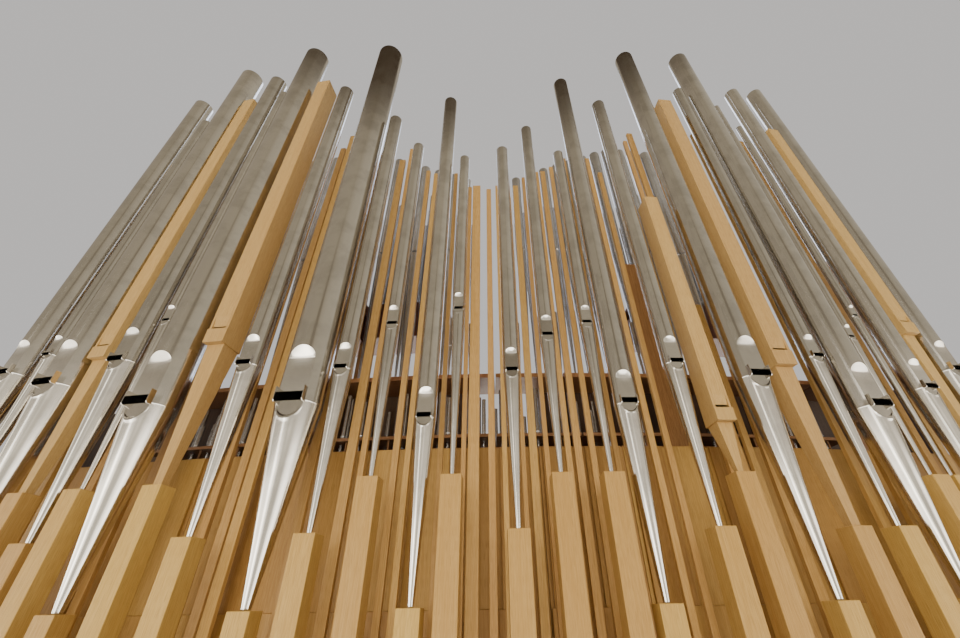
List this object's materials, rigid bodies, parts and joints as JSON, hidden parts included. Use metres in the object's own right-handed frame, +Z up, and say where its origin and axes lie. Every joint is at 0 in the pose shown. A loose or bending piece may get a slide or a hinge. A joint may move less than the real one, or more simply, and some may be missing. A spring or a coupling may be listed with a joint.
{
  "type": "pipe organ",
  "caption": "Pipe organ with metal and wooden pipes standing on square wooden wind posts in front of a curved panelled case.",
  "frame": {"origin": "centre of the footprint's bounding box, on the floor under the plinth", "axes": "+Z up, the curved front faces -Y, +X is to the right of someone who looks at the front"},
  "size_m": [6.48, 1.75, 6.67],
  "materials": {
    "front_pipe_metal": "satin tin alloy",
    "inner_pipe_metal": "satin tin alloy",
    "pipe_wood": "oiled pale wood",
    "post_wood": "oiled pale wood",
    "slat_wood": "oiled pale wood",
    "wall_wood": "satin reddish wood",
    "inner_wood": "satin wood"
  },
  "bodies": {
    "root": {"plinth": "wall_wood", "low_posts": "post_wood", "middle_posts": "post_wood", "high_posts": "post_wood", "bass_pipe_1": "front_pipe_metal", "bass_pipe_2": "front_pipe_metal", "bass_pipe_3": "front_pipe_metal", "bass_pipe_4": "front_pipe_metal", "bass_pipe_5": "front_pipe_metal", "bass_pipe_6": "front_pipe_metal", "outer_left_pipes": "front_pipe_metal", "left_pipes": "front_pipe_metal", "centre_left_pipes": "front_pipe_metal", "centre_right_pipes": "front_pipe_metal", "right_pipes": "front_pipe_metal", "outer_right_pipes": "front_pipe_metal", "wooden_pipes_left": "pipe_wood", "wooden_pipe_middle": "pipe_wood", "wooden_pipes_right": "pipe_wood", "wall_backing": "wall_wood", "lower_panels": "wall_wood", "upper_boards": "wall_wood", "top_rail": "wall_wood", "side_panel_left": "wall_wood", "side_panel_right": "wall_wood", "back_panel": "wall_wood", "slats_outer_left": "slat_wood", "slats_left": "slat_wood", "slats_right": "slat_wood", "slats_outer_right": "slat_wood", "lower_windchest": "inner_wood", "lower_rack_board": "inner_wood", "rack_pins": "inner_wood", "second_rank_left": "inner_pipe_metal", "second_rank_right": "inner_pipe_metal", "small_pipes": "inner_pipe_metal", "inner_frame": "inner_wood", "inner_screens": "inner_wood", "raised_plank": "inner_wood", "upper_windchest_left": "inner_wood", "upper_windchest_right": "inner_wood", "upper_rack_left": "inner_wood", "upper_rack_right": "inner_wood", "upper_rank_left": "inner_pipe_metal", "upper_rank_right": "inner_pipe_metal"}
  },
  "joints": []
}
